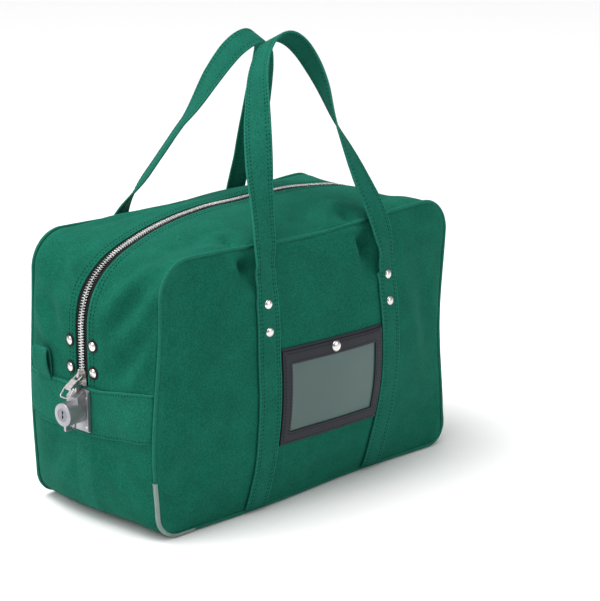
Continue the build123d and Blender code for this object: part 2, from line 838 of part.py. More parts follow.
with BuildPart() as zip_pull:
    with BuildSketch(pull_plane.offset(-bar_w / 2)):
        with Locations(((bar_start + bar_end) / 2, 0)):
            RectangleRounded(bar_end - bar_start, bar_t, 0.9)
    extrude(amount=bar_w)
    for y in (-bar_w / 2, bar_w / 2 - fork_t):
        with BuildSketch(pull_plane.offset(y)):
            with Locations(((bar_start + 1) / 2, 0)):
                SlotCenterToCenter(bar_start + 1, 2.6)
        extrude(amount=fork_t)
    with BuildSketch(pull_plane.offset(-bar_w / 2 + 0.2)):
        Circle(0.8)
    extrude(amount=bar_w - 0.4)
    for step in range(4):
        for face in (-1, 1):
            with BuildSketch(pull_plane.offset(-bar_w / 2)):
                with Locations((bar_start + 2 + 2 * step, face * bar_t / 2)):
                    Circle(0.45)
            extrude(amount=bar_w, mode=Mode.SUBTRACT)
    with BuildSketch(pull_plane.offset(-bar_w / 2)):
        with Locations((ring_at, 0)):
            Circle(0.95)
    extrude(amount=bar_w, mode=Mode.SUBTRACT)
save(zip_pull.part, "zip_pull")

ring_wire = 1.5
ring_w = 14.4
ring_l = 12.0
ring_slope = 50
ring_down = Vector(-math.cos(math.radians(ring_slope)), 0, -math.sin(math.radians(ring_slope)))
ring_centre = pivot + down_out * ring_at
ring_plane = Plane(ring_centre, x_dir=ring_down, z_dir=ring_down.cross(Vector(0, 1, 0)))
with BuildPart() as pull_ring:
    with BuildSketch(ring_plane, mode=Mode.PRIVATE) as ring_shape:
        with Locations((ring_l / 2, 0)):
            RectangleRounded(ring_l, ring_w, 3)
    ring_wire_path = ring_shape.sketch.wire()
    with BuildSketch(Plane(ring_wire_path @ 0, z_dir=ring_wire_path % 0)):
        Circle(ring_wire / 2)
    sweep(path=ring_wire_path)
save(pull_ring.part, "pull_ring")
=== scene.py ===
import functools
import math

import bpy
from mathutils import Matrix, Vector, noise


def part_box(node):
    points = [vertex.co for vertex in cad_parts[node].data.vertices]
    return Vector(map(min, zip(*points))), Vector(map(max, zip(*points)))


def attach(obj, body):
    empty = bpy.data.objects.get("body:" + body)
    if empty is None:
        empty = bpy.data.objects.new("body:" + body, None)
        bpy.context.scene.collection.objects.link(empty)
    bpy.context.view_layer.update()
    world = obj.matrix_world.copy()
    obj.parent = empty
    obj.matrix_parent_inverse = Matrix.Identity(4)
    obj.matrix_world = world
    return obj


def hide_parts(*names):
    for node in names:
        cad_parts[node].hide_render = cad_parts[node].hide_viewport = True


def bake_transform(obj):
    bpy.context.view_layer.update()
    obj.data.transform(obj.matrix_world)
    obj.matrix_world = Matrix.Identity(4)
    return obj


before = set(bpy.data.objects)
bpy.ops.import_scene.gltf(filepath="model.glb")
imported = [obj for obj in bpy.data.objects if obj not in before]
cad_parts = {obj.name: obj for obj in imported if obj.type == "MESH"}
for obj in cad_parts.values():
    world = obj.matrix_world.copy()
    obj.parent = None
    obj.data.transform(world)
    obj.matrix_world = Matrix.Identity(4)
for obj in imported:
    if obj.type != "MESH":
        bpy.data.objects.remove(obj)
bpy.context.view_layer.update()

# ---------------------------------------------------------------- sizes, in metres

MM = 0.001
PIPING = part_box("front_piping")
HALF_LENGTH = PIPING[1].x
HALF_DEPTH = (PIPING[0].y + PIPING[1].y) / -2
SEAM_TOP = PIPING[1].z
SEAM_LOW = PIPING[0].z
TOP_RADIUS = 42 * MM
BOTTOM_RADIUS = 28 * MM
PIPING_R = 2.5 * MM
COVER_R = 2.0 * MM  # as much of the piping as stands clear of the seam
PANEL_BULGE = 28 * MM
END_X = -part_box("top_gusset_front")[0].x  # how far the ends stand out at their middles
CREST_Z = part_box("top_gusset_front")[1].z
HEART = Vector((0, 0, 0.15))  # the gusset's rays start here
BAND_LOW, BAND_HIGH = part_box("left_end_band")[0].z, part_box("left_end_band")[1].z
ZIP_SLOT = 9.4 * MM
STRAP_X = 91 * MM
STRAP_W = 30 * MM
STRAP_T = 2.4 * MM
CANVAS_T = 1.4 * MM
SIDES = {"front": -1, "back": 1}
FOLD_Z = 0.24


def clamp(value, low, high):
    return min(max(value, low), high)


def smooth(t):
    """0 up to t = 0 and 1 from t = 1, with an even ease between."""
    t = clamp(t, 0.0, 1.0)
    return t * t * (3 - 2 * t)


def bump(t):
    """1 at t = 0, falling smoothly to 0 at t = 1 and -1."""
    return 1 - smooth(abs(t))


# ---------------------------------------------------------------- mesh building


class Shape:
    """Collects points, faces, cloth coordinates and a share of paler colour for wear and painted light, then
    makes one object of them.
    """

    def __init__(self):
        self.points, self.faces, self.cloth, self.wear_and_painted_light = [], [], [], []

    def point(self, place, u=0.0, v=0.0, wear_and_painted_light=0.0):
        self.points.append(Vector(place))
        self.cloth.append((u, v))
        self.wear_and_painted_light.append(wear_and_painted_light)
        return len(self.points) - 1

    def grid(self, rows, close_u=False, flip=False):
        """Joins equal rows of point numbers into quads."""
        for low, high in zip(rows, rows[1:]):
            count = len(low)
            for i in range(count if close_u else count - 1):
                j = (i + 1) % count
                face = (low[i], low[j], high[j], high[i])
                self.faces.append(face[::-1] if flip else face)

    def volume(self):
        """Six times the volume the faces enclose, negative where they face inwards."""
        total = 0.0
        for face in self.faces:
            first = self.points[face[0]]
            for b, c in zip(face[1:], face[2:]):
                total += first.dot(self.points[b].cross(self.points[c]))
        return total

    def make(self, name, material, body="bag", solid=0.0, offset=-1.0, smooth_faces=True):
        """Makes the object. With no body it's left free."""
        if not solid and self.volume() < 0:
            self.faces = [face[::-1] for face in self.faces]
        mesh = bpy.data.meshes.new(name)
        mesh.from_pydata([tuple(p) for p in self.points], [], self.faces)
        layer = mesh.uv_layers.new(name="cloth")
        for loop in mesh.loops:
            layer.data[loop.index].uv = self.cloth[loop.vertex_index]
        wear_and_painted_light = mesh.attributes.new("wear_and_painted_light", "FLOAT", "POINT")
        wear_and_painted_light.data.foreach_set("value", self.wear_and_painted_light)
        mesh.polygons.foreach_set("use_smooth", [smooth_faces] * len(mesh.polygons))
        mesh.materials.append(material)
        piece = bpy.data.objects.new(name, mesh)
        bpy.context.scene.collection.objects.link(piece)
        if solid:
            thick = piece.modifiers.new("thickness", "SOLIDIFY")
            thick.thickness = solid
            thick.offset = offset
            thick.use_even_offset = False
        if body:
            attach(piece, body)
        return piece


# ---------------------------------------------------------------- the bag's drape

# Soft creases: where each starts and ends, how deep it is and how wide, all in metres.
CREASES = (
    # left end
    ((-0.216, -0.088, 0.284), (-0.247, -0.036, 0.205), 0.0085, 0.012),
    ((-0.232, -0.094, 0.236), (-0.247, -0.040, 0.160), 0.0075, 0.013),
    ((-0.236, -0.094, 0.085), (-0.247, -0.034, 0.108), 0.0050, 0.014),
    ((-0.240, -0.085, 0.060), (-0.247, -0.010, 0.094), 0.0045, 0.012),
    ((-0.240, 0.088, 0.262), (-0.247, 0.034, 0.200), 0.0085, 0.014),
    ((-0.215, 0.080, 0.294), (-0.240, 0.034, 0.240), 0.0080, 0.013),
    ((-0.236, 0.092, 0.190), (-0.247, 0.050, 0.160), 0.0050, 0.014),
    ((-0.240, 0.085, 0.050), (-0.247, 0.020, 0.092), 0.0050, 0.016),
    # top
    ((-0.170, 0.080, 0.306), (-0.060, 0.050, 0.320), 0.0060, 0.013),
    ((-0.190, -0.060, 0.300), (-0.110, -0.070, 0.308), 0.0040, 0.014),
    ((-0.020, -0.090, 0.304), (0.050, -0.050, 0.318), 0.0045, 0.014),
    ((0.100, -0.085, 0.304), (0.190, -0.040, 0.312), 0.0050, 0.016),
    ((0.040, 0.085, 0.306), (0.150, 0.055, 0.312), 0.0050, 0.016),
    ((-0.124, -0.087, 0.303), (-0.106, -0.090, 0.303), 0.0100, 0.010),
    ((0.052, -0.087, 0.303), (0.076, -0.090, 0.303), 0.0110, 0.011),
    # right end
    ((0.216, -0.088, 0.284), (0.247, -0.036, 0.210), 0.0080, 0.013),
    ((0.232, -0.094, 0.190), (0.247, -0.040, 0.160), 0.0050, 0.014),
    ((0.236, 0.088, 0.262), (0.247, 0.040, 0.190), 0.0075, 0.014),
    ((0.240, 0.080, 0.060), (0.247, 0.010, 0.095), 0.0045, 0.016),
    ((0.240, -0.080, 0.060), (0.247, -0.020, 0.095), 0.0045, 0.014),
    # front panel
    ((-0.111, -0.104, 0.290), (-0.109, -0.112, 0.268), 0.0150, 0.011),
    ((0.069, -0.104, 0.288), (0.068, -0.116, 0.250), 0.0160, 0.013),
    ((-0.215, -0.105, 0.040), (-0.150, -0.125, 0.105), 0.0040, 0.018),
    ((-0.215, -0.105, 0.200), (-0.165, -0.118, 0.150), 0.0040, 0.018),
    ((-0.205, -0.105, 0.282), (-0.170, -0.118, 0.215), 0.0030, 0.020),
    ((0.150, -0.118, 0.225), (0.205, -0.108, 0.120), 0.0050, 0.020),
    ((0.060, -0.112, 0.240), (0.000, -0.122, 0.200), 0.0030, 0.018),
    ((-0.060, -0.105, 0.020), (0.050, -0.112, 0.036), 0.0030, 0.012),
    ((0.130, -0.105, 0.060), (0.200, -0.106, 0.045), 0.0035, 0.014),
    # back panel
    ((-0.113, 0.104, 0.288), (-0.111, 0.112, 0.255), 0.0085, 0.012),
    ((0.113, 0.104, 0.288), (0.111, 0.114, 0.250), 0.0085, 0.012),
    ((-0.210, 0.105, 0.250), (-0.150, 0.120, 0.170), 0.0050, 0.018),
    ((0.210, 0.105, 0.060), (0.140, 0.120, 0.130), 0.0050, 0.018),
    ((-0.050, 0.122, 0.220), (0.070, 0.124, 0.110), 0.0045, 0.022),
    ((-0.080, 0.108, 0.030), (0.060, 0.112, 0.050), 0.0035, 0.016),
)
# Places where metal is fixed to the cloth, which stay flat: centre and reach.
FLAT_SPOTS = (
    (Vector((-0.245, 0, 0.150)), 0.060),
    (Vector((-0.245, 0, 0.200)), 0.045),
    (Vector((0.245, 0, 0.185)), 0.045),
)


def slack(place):
    """How free the cloth is to move: 0 beside the hardware, 1 away from it."""
    free = 1.0
    for centre, reach in FLAT_SPOTS:
        free = min(free, smooth(((place - centre).length - 0.6 * reach) / (0.6 * reach)))
    return free


def relief(place):
    """How far the cloth stands out of its plain shape, from soft waves and creases."""
    wave = noise.noise(place * 9.0) * 2.2 * MM
    wave += noise.noise(place * 21.0 + Vector((3, 1, 7))) * 1.1 * MM
    for start, end, depth, width in CREASES:
        a, b = Vector(start), Vector(end)
        run = b - a
        along = (place - a).dot(run) / run.length_squared
        near = a + run * clamp(along, 0.0, 1.0)
        gone = (place - near).length / width
        if gone < 3:
            side = bump((clamp(along, 0, 1) - 0.5) * 1.6)
            valley = math.exp(-(gone**2)) - 0.45 * math.exp(-((gone - 1.7) ** 2) * 1.6)
            wave -= depth * valley * (0.2 + 0.8 * side)
    return wave * slack(place)


def front_shift(z):
    """How far the front's cloth has slid towards +X at a height z."""
    return 4.5 * MM * smooth(z / 0.12) * (1 - smooth((z - FOLD_Z) / (0.303 - FOLD_Z)))


def hang(place):
    """The bag's slump: the near edge bows out and the other pulls in, and the seams sag."""
    x, y, z = place
    front = smooth((-y - 0.02) / 0.08)
    back = smooth((y - 0.02) / 0.08)
    left = smooth((-x - 0.12) / 0.10)
    right = smooth((x - 0.12) / 0.10)
    middle = 1 - smooth(abs(x) / 0.19)
    out = Vector(place)
    out.x -= left * front * 12 * MM * bump((z - 0.095) / 0.15)
    out.x -= right * front * 9 * MM * bump((z - 0.155) / 0.13)
    out.x -= left * back * 6 * MM * bump((z - 0.12) / 0.16)
    out.x += right * back * 5 * MM * bump((z - 0.10) / 0.16)
    high = smooth((z - 0.2) / 0.1)
    out.z -= high * front * 5.0 * MM * middle
    out.y -= high * front * 5.0 * MM * middle
    out.z -= high * back * 3.5 * MM * bump((x + 0.03) / 0.2)
    out.z += high * back * 3.0 * MM * bump((x - 0.19) / 0.08)
    out.x += front_shift(z) * front * smooth((HALF_LENGTH - abs(x)) / 0.1)
    low = 1 - smooth(z / 0.05)
    out.y += low * front * 2.5 * MM * math.sin(x * 21)
    return out


def draped(place, outward, seam_near=1.0):
    """A point of the plain shape, moved to where the cloth really lies. Its relief fades at seam_near = 0."""
    out = hang(place) + outward * relief(place) * seam_near
    out.z = max(out.z, 0.3 * MM)
    return out


# ---------------------------------------------------------------- plain shapes of seam, gusset and panels


def seam_path(inset, count):
    """Evenly spaced points of the outline, as x and z, from the middle of the bottom and up the left end."""
    half = HALF_LENGTH - inset
    low, high = SEAM_LOW + inset, SEAM_TOP - inset
    r_low, r_high = BOTTOM_RADIUS - inset, TOP_RADIUS - inset
    runs = []

    def line(x0, z0, x1, z1):
        runs.append((math.hypot(x1 - x0, z1 - z0), lambda t: (x0 + (x1 - x0) * t, z0 + (z1 - z0) * t)))

    def arc(cx, cz, r, start):
        def at(t):
            angle = start - t * math.pi / 2
            return cx + r * math.cos(angle), cz + r * math.sin(angle)

        runs.append((r * math.pi / 2, at))

    line(0, low, -half + r_low, low)
    arc(-half + r_low, low + r_low, r_low, -math.pi / 2)
    line(-half, low + r_low, -half, high - r_high)
    arc(-half + r_high, high - r_high, r_high, math.pi)
    line(-half + r_high, high, half - r_high, high)
    arc(half - r_high, high - r_high, r_high, math.pi / 2)
    line(half, high - r_high, half, low + r_low)
    arc(half - r_low, low + r_low, r_low, 0)
    line(half - r_low, low, 0, low)
    total = sum(run[0] for run in runs)
    points = []
    for i in range(count):
        gone = total * i / count
        for length, at in runs:
            if gone <= length:
                points.append(at(gone / length))
                break
            gone -= length
    return points


@functools.lru_cache(None)
def crest_scale(x, z):
    """How much further out along its ray the gusset's middle line is than x, z.

    Above the heart the left end runs straight up for a while, then bends over a round shoulder.
    """
    rise = z - HEART.z
    power, reach, straight = (9.0, HEART.z, 0.0)
    if rise > 0:
        reach = CREST_Z - HEART.z
        power, straight = (2.5, 0.06) if x < 0 else (3.5, 0.0)
    low, high = 0.5, 2.0
    for _ in range(40):
        scale = (low + high) / 2
        up = max(abs(rise) * scale - straight, 0) / (reach - straight)
        if (abs(x) * scale / END_X) ** power + up**power > 1:
            high = scale
        else:
            low = scale
    return low


def gusset_point(x, z, y):
    """A point of the gusset's plain shape, on the ray through the seam point x, z, and its outward direction.

    Outward is square to the seam, and turns evenly round its corners.
    """
    across = min(abs(y) / HALF_DEPTH, 1)
    share = 1 - across**2.3
    scale = 1 + (crest_scale(x, z) - 1) * share
    pinch = 3.4 * MM * math.exp(-((HALF_DEPTH - abs(y)) / (5 * MM)))
    ray = Vector((x, 0, z - HEART.z))
    corner = TOP_RADIUS if z > HEART.z else BOTTOM_RADIUS
    inner_x = HALF_LENGTH - corner
    core_x = clamp(x, -inner_x, inner_x)
    core = Vector((core_x, 0, clamp(z, SEAM_LOW + corner, SEAM_TOP - corner)))
    out = (Vector((x, 0, z)) - core).normalized()
    place = HEART + ray * scale + Vector((0, y, 0)) - out * pinch
    return place, out


def seam_fade(y):
    """0 at the piping and 1 well away from it, at a distance y from the middle plane."""
    return 1 - math.exp(-max(HALF_DEPTH - abs(y), 0) / (7 * MM))


def panel_height(x, z):
    """How far a panel stands out from the seam, fuller towards +X."""
    across = max(1 - (x / HALF_LENGTH) ** 2, 0)
    up = max(1 - ((z - 0.15) / 0.15) ** 2, 0)
    lean = 1 + 0.16 * math.sin(x * 14)
    edge = min(HALF_LENGTH - abs(x), SEAM_TOP - z, z - SEAM_LOW)
    pinch = math.exp(-max(edge, 0) / (6 * MM))
    return PANEL_BULGE * across * up * lean + 1.2 * MM - 4.4 * MM * pinch


def panel_place(side, x, z, lift=0.0):
    """A point on the draped panel, lifted off its cloth, and the outward direction there."""

    def bare(px, pz):
        plain = Vector((px, side * (HALF_DEPTH + panel_height(px, pz)), pz))
        edge = min(HALF_LENGTH - abs(px), SEAM_TOP - pz, pz - SEAM_LOW)
        return draped(plain, Vector((0, side, 0)), 1 - math.exp(-max(edge, 0) / (8 * MM)))

    here = bare(x, z)
    step = 2 * MM
    slope_x = bare(x + step, z) - bare(x - step, z)
    slope_z = bare(x, z + step) - bare(x, z - step)
    outward = slope_x.cross(slope_z).normalized()
    if outward.y * side < 0:
        outward = -outward
    return here + outward * lift, outward


# ---------------------------------------------------------------- materials


def node(tree, kind, **values):
    """A new shader node. Each value goes to the input of that name, or else to the node itself."""
    made = tree.nodes.new(kind)
    for key, value in values.items():
        if key in made.inputs:
            made.inputs[key].default_value = value
        else:
            setattr(made, key, value)
    return made


def plain_material(name, color, rough, metal=0.0):
    """A one-colour material, with its node tree and its shader for what is added later."""
    material = bpy.data.materials.new(name)
    material.use_nodes = True
    tree = material.node_tree
    shader = tree.nodes["Principled BSDF"]
    shader.inputs["Base Color"].default_value = (*color, 1)
    shader.inputs["Roughness"].default_value = rough
    shader.inputs["Metallic"].default_value = metal
    return material, tree, shader


def ramp(tree, source, low, high, start=0.0, end=1.0):
    """A colour ramp between two colours."""
    made = tree.nodes.new("ShaderNodeValToRGB")
    made.color_ramp.elements[0].position = start
    made.color_ramp.elements[1].position = end
    made.color_ramp.elements[0].color = (*low, 1)
    made.color_ramp.elements[1].color = (*high, 1)
    tree.links.new(source, made.inputs["Fac"])
    return made.outputs["Color"]


def math_node(tree, operation, a, b):
    """The result of an operation on two numbers or outputs."""
    made = tree.nodes.new("ShaderNodeMath")
    made.operation = operation
    for slot, value in enumerate((a, b)):
        if isinstance(value, (int, float)):
            made.inputs[slot].default_value = value
        else:
            tree.links.new(value, made.inputs[slot])
    return made.outputs[0]


def woven(name, dark, light, wear_and_light_color, rough=0.86, pitch=0.9 * MM, depth=0.00012, sheen=0.07):
    """Woven cloth: over-and-under threads, mottled dye, and a paler colour on worn edges that also serves as
    painted light on the bag's top.
    """
    material, tree, shader = plain_material(name, dark, rough)
    cloth = node(tree, "ShaderNodeUVMap", uv_map="cloth")
    threads = []
    for direction in ("X", "Y"):
        wave = node(tree, "ShaderNodeTexWave", bands_direction=direction, Scale=0.314 / pitch, Distortion=0.4)
        wave.inputs["Detail"].default_value = 1.0
        tree.links.new(cloth.outputs["UV"], wave.inputs["Vector"])
        threads.append(wave.outputs["Fac"])
    weave = math_node(tree, "MULTIPLY", threads[0], threads[1])
    place = tree.nodes.new("ShaderNodeTexCoord")
    dye = node(tree, "ShaderNodeTexNoise", Scale=38.0, Detail=6.0, Roughness=0.62)
    slubs = node(tree, "ShaderNodeTexNoise", Scale=520.0, Detail=3.0, Roughness=0.6)
    tree.links.new(place.outputs["Object"], dye.inputs["Vector"])
    tree.links.new(place.outputs["Object"], slubs.inputs["Vector"])
    mix = math_node(tree, "MULTIPLY", dye.outputs["Fac"], 0.3)
    mix = math_node(tree, "ADD", mix, math_node(tree, "MULTIPLY", slubs.outputs["Fac"], 0.55))
    mix = math_node(tree, "ADD", mix, math_node(tree, "MULTIPLY", weave, 0.15))
    base = ramp(tree, mix, dark, light, 0.36, 0.64)
    wear_and_painted_light = node(tree, "ShaderNodeAttribute", attribute_name="wear_and_painted_light")
    blend = tree.nodes.new("ShaderNodeMix")
    blend.data_type = "RGBA"
    blend.inputs["B"].default_value = (*wear_and_light_color, 1)
    # Mixes in the paler colour, for wear and for painted light on the top
    wear_and_light_share = math_node(tree, "MULTIPLY", wear_and_painted_light.outputs["Fac"], slubs.outputs["Fac"])
    tree.links.new(wear_and_light_share, blend.inputs["Factor"])
    tree.links.new(base, blend.inputs["A"])
    tree.links.new(blend.outputs["Result"], shader.inputs["Base Color"])
    height = math_node(tree, "ADD", weave, math_node(tree, "MULTIPLY", slubs.outputs["Fac"], 0.9))
    relief_node = node(tree, "ShaderNodeBump", Strength=0.55, Distance=depth)
    tree.links.new(height, relief_node.inputs["Height"])
    tree.links.new(relief_node.outputs["Normal"], shader.inputs["Normal"])
    roughness = ramp(tree, mix, (rough + 0.08,) * 3, (rough - 0.08,) * 3)
    tree.links.new(roughness, shader.inputs["Roughness"])
    shader.inputs["Sheen Weight"].default_value = sheen
    shader.inputs["Sheen Roughness"].default_value = 0.5
    shader.inputs["Sheen Tint"].default_value = (0.15, 0.75, 0.6, 1)
    shader.inputs["Specular IOR Level"].default_value = 0.05
    return material


def metal(name, color, rough, grain=260.0, depth=0.00004, variation=0.12):
    """Plated or cast metal with fine pitting, handling marks and uneven polish."""
    material, tree, shader = plain_material(name, color, rough, 1.0)
    place = tree.nodes.new("ShaderNodeTexCoord")
    pits = node(tree, "ShaderNodeTexNoise", Scale=grain, Detail=5.0, Roughness=0.65)
    marks = node(tree, "ShaderNodeTexNoise", Scale=grain * 0.14, Detail=3.0)
    tree.links.new(place.outputs["Object"], pits.inputs["Vector"])
    tree.links.new(place.outputs["Object"], marks.inputs["Vector"])
    dull = tuple(c * (1 - variation * 1.6) for c in color)
    tree.links.new(ramp(tree, marks.outputs["Fac"], dull, color, 0.3, 0.62), shader.inputs["Base Color"])
    polish = ramp(tree, pits.outputs["Fac"], (max(rough - 0.1, 0.04),) * 3, (rough + 0.14,) * 3, 0.25, 0.75)
    tree.links.new(polish, shader.inputs["Roughness"])
    surface = node(tree, "ShaderNodeBump", Strength=0.4, Distance=depth)
    tree.links.new(pits.outputs["Fac"], surface.inputs["Height"])
    tree.links.new(surface.outputs["Normal"], shader.inputs["Normal"])
    return material


def moulded(name, color, rough, grain=900.0, depth=0.00005, coat=0.0, alpha=1.0, cloud=60.0, gloss=0.5):
    """Vinyl or plastic with a fine leather-like grain."""
    material, tree, shader = plain_material(name, color, rough)
    place = tree.nodes.new("ShaderNodeTexCoord")
    cells = node(tree, "ShaderNodeTexVoronoi", Scale=grain)
    haze = node(tree, "ShaderNodeTexNoise", Scale=cloud, Detail=4.0)
    tree.links.new(place.outputs["Object"], cells.inputs["Vector"])
    tree.links.new(place.outputs["Object"], haze.inputs["Vector"])
    pale = tuple(min(c * 1.3 + 0.002, 1) for c in color)
    tree.links.new(ramp(tree, haze.outputs["Fac"], color, pale, 0.35, 0.8), shader.inputs["Base Color"])
    matt = ramp(tree, haze.outputs["Fac"], (rough,) * 3, (min(rough + 0.15, 1),) * 3)
    tree.links.new(matt, shader.inputs["Roughness"])
    surface = node(tree, "ShaderNodeBump", Strength=0.35, Distance=depth)
    tree.links.new(cells.outputs["Distance"], surface.inputs["Height"])
    tree.links.new(surface.outputs["Normal"], shader.inputs["Normal"])
    shader.inputs["Coat Weight"].default_value = coat
    shader.inputs["Coat Roughness"].default_value = 0.25
    shader.inputs["Alpha"].default_value = alpha
    shader.inputs["Specular IOR Level"].default_value = gloss
    return material


GREEN_DARK = (0.0030, 0.066, 0.040)
GREEN_LIGHT = (0.0070, 0.128, 0.082)
# Paler green for worn edges, also used as painted light where the top is lit from above
GREEN_WEAR_AND_LIGHT = (0.020, 0.185, 0.132)
CANVAS = woven("green_canvas", GREEN_DARK, GREEN_LIGHT, GREEN_WEAR_AND_LIGHT)
STRAP = woven("green_strap", (0.0035, 0.070, 0.045), (0.0090, 0.126, 0.084), GREEN_WEAR_AND_LIGHT, depth=0.00016)
PIPED = woven("green_piping", (0.0055, 0.082, 0.050), (0.011, 0.130, 0.084), GREEN_WEAR_AND_LIGHT, pitch=0.8 * MM)
THREAD = woven(
    "green_thread", (0.0006, 0.012, 0.008), (0.0018, 0.026, 0.018), (0.01, 0.06, 0.04),
    pitch=0.3 * MM, sheen=0.0,
)
TAPE = woven(
    "black_tape", (0.0035, 0.0035, 0.0038), (0.010, 0.010, 0.011), (0.03, 0.03, 0.03),
    pitch=0.7 * MM, sheen=0.05,
)
VINYL = moulded("black_vinyl", (0.0085, 0.0095, 0.0150), 0.46, gloss=0.3)
WINDOW = moulded("clear_window", (0.036, 0.077, 0.070), 0.24, grain=34.0, depth=0.0005, coat=0.05, cloud=9.0)
GUARD = moulded("clear_guard", (0.16, 0.24, 0.21), 0.3, coat=0.5, alpha=0.75)
DARK_THREAD = moulded("dark_thread", (0.001, 0.001, 0.001), 0.8, gloss=0.05)
WASHER = moulded("black_washer", (0.004, 0.004, 0.004), 0.55, gloss=0.2)
NICKEL = metal("nickel", (0.72, 0.70, 0.68), 0.2)
TOOTH = metal("zip_metal", (0.86, 0.86, 0.85), 0.24)
SLIDER = metal("slider_metal", (0.50, 0.48, 0.47), 0.33, depth=0.0001)
CAST = metal("cast_metal", (0.40, 0.395, 0.42), 0.45, grain=520.0, depth=0.00008)
PLUG = metal("plug_metal", (0.27, 0.28, 0.32), 0.42)
BOARD = moulded("board", (0.02, 0.02, 0.02), 0.8)

# ---------------------------------------------------------------- canvas


def gusset_strip(
    name, y_from, y_to, path, material, nodes, lift=0.0, thick=CANVAS_T, across=18
):
    """A strip of canvas between two distances from the middle plane, along the seam points given."""
    shape = Shape()
    rows = []
    length = 0.0
    for i, (x, z) in enumerate(path):
        if i:
            length += math.hypot(x - path[i - 1][0], z - path[i - 1][1])
        row = []
        for j in range(across + 1):
            y = y_from + (y_to - y_from) * j / across
            plain, outward = gusset_point(x, z, y)
            place = draped(plain, outward, seam_fade(y)) + outward * lift
            near_edge = 1 - smooth((HALF_DEPTH - abs(y)) / (9 * MM))
            near_zip = 1 - smooth((abs(y) - ZIP_SLOT) / (4 * MM))
            # Paler near the piping and the zip from wear; the last term is painted light, paler on the bag's
            # top above 0.27 m as if lit from above
            wear_and_painted_light = 0.55 * near_edge + 0.35 * near_zip + 0.35 * smooth((place.z - 0.27) / 0.05)
            row.append(shape.point(place, length, y, wear_and_painted_light))
        rows.append(row)
    shape.grid(rows, flip=y_to > y_from)
    piece = shape.make(name, material, solid=thick)
    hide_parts(*nodes)


STEPS = 420  # points round the seam
BAND_LAP = 1.5 * MM  # how far the lower strip runs up behind the band's top edge
SEAM = seam_path(1 * MM, STEPS)
ABOVE = [(x, z) for x, z in SEAM if z > BAND_HIGH]
BELOW_LEFT = [(x, z) for x, z in SEAM[: STEPS // 2] if z <= BAND_HIGH + BAND_LAP]
BELOW_RIGHT = [(x, z) for x, z in SEAM[STEPS // 2 :] if z <= BAND_HIGH + BAND_LAP]
BELOW = BELOW_RIGHT + BELOW_LEFT
EDGE = HALF_DEPTH - 1.0 * MM


def canvas_panel(word, side):
    """A front or back panel: rings of points from its outline to its middle."""
    shape = Shape()
    outline = seam_path(3.2 * MM, 300)
    rings = 56
    rows = []
    for ring in range(rings):
        share = 1 - (ring / rings) ** 1.25 if ring else 1.0
        row = []
        for x, z in outline:
            px = x * share
            pz = HEART.z + (z - HEART.z) * share
            place, _ = panel_place(side, px, pz)
            wear_and_painted_light = 0.5 * (1 - smooth(ring / 5)) + 0.18
            row.append(shape.point(place, px, pz, wear_and_painted_light))
        rows.append(row)
    shape.grid(rows, close_u=True, flip=side < 0)
    hub = shape.point(panel_place(side, 0, HEART.z)[0], 0, HEART.z, 0.18)
    last = rows[-1]
    for i in range(len(last)):
        face = (last[i], last[(i + 1) % len(last)], hub)
        shape.faces.append(face[::-1] if side < 0 else face)
    piece = shape.make(f"{word}_canvas", CANVAS, solid=CANVAS_T)
    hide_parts(f"{word}_panel")


def piping(word, side):
    """The covered cord round a panel, with the cloth's slight puckers."""
    shape = Shape()
    around = 14
    path = seam_path(PIPING_R, 700)
    centres = []
    for x, z in path:
        place = hang(Vector((x, side * HALF_DEPTH, z)))
        place.z = max(place.z, COVER_R + 0.4 * MM)
        centres.append(place)
    rows = []
    length = 0.0
    for i, centre in enumerate(centres):
        ahead, behind = centres[(i + 1) % len(centres)], centres[i - 1]
        forward = (ahead - behind).normalized()
        length += (ahead - centre).length
        first = forward.cross(Vector((0, 1, 0))).normalized()
        second = forward.cross(first)
        pucker = 1 + 0.05 * noise.noise(centre * 160)
        row = []
        for j in range(around):
            angle = 2 * math.pi * j / around
            spoke = first * math.cos(angle) + second * math.sin(angle)
            row.append(shape.point(centre + spoke * COVER_R * pucker, length, angle * COVER_R, 0.55))
        rows.append(row)
    shape.grid(rows + [rows[0]], close_u=True, flip=False)
    piece = shape.make(f"{word}_piping_cover", PIPED)
    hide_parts(f"{word}_piping", f"{word}_piping_cord")


BAND_STITCH = 3.2 * MM  # from each of the band's long edges to its stitching
BAND_YS = [-EDGE + 2 * EDGE * j / 80 for j in range(81)]


def band_point(side, y, z, lift):
    """A place on an end's cloth. The band there climbs a little towards the front."""
    up = smooth((z - BAND_LOW) / (BAND_HIGH - BAND_LOW))
    climb = smooth((-y - 8 * MM) / (90 * MM)) * (4.5 * MM + 4.5 * MM * up)
    plain, outward = gusset_point(side * (HALF_LENGTH - 1 * MM), z + climb, y)
    return draped(plain, outward, seam_fade(y)) + outward * lift, outward


def end_band(word, side):
    """The folded band across an end, lying on the gusset."""
    tall = BAND_HIGH - BAND_LOW
    levels = [0, 0.4 * MM, 1.4 * MM, 3 * MM] + [3 * MM + (tall - 6 * MM) * i / 12 for i in range(1, 12)]
    levels += [tall - 3 * MM, tall - 1.4 * MM, tall - 0.4 * MM, tall]
    shape = Shape()
    rows = []
    for level in levels:
        edge = min(level, tall - level)
        fold = 1.7 * MM * math.sqrt(min(edge / (1.4 * MM), 1))
        seam_groove = 0.5 * MM * bump((edge - BAND_STITCH) / (1.6 * MM))
        puff = 0.4 * MM + fold - seam_groove
        row = []
        for y in BAND_YS:
            place, _ = band_point(side, y, BAND_LOW + level, puff)
            row.append(shape.point(place, y, BAND_LOW + level, 0.9 if edge < 1 * MM else 0.25))
        rows.append(row)
    shape.grid(rows, flip=side < 0)
    piece = shape.make(f"{word}_band", CANVAS, solid=1.2 * MM)
    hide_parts(f"{word}_end_band")


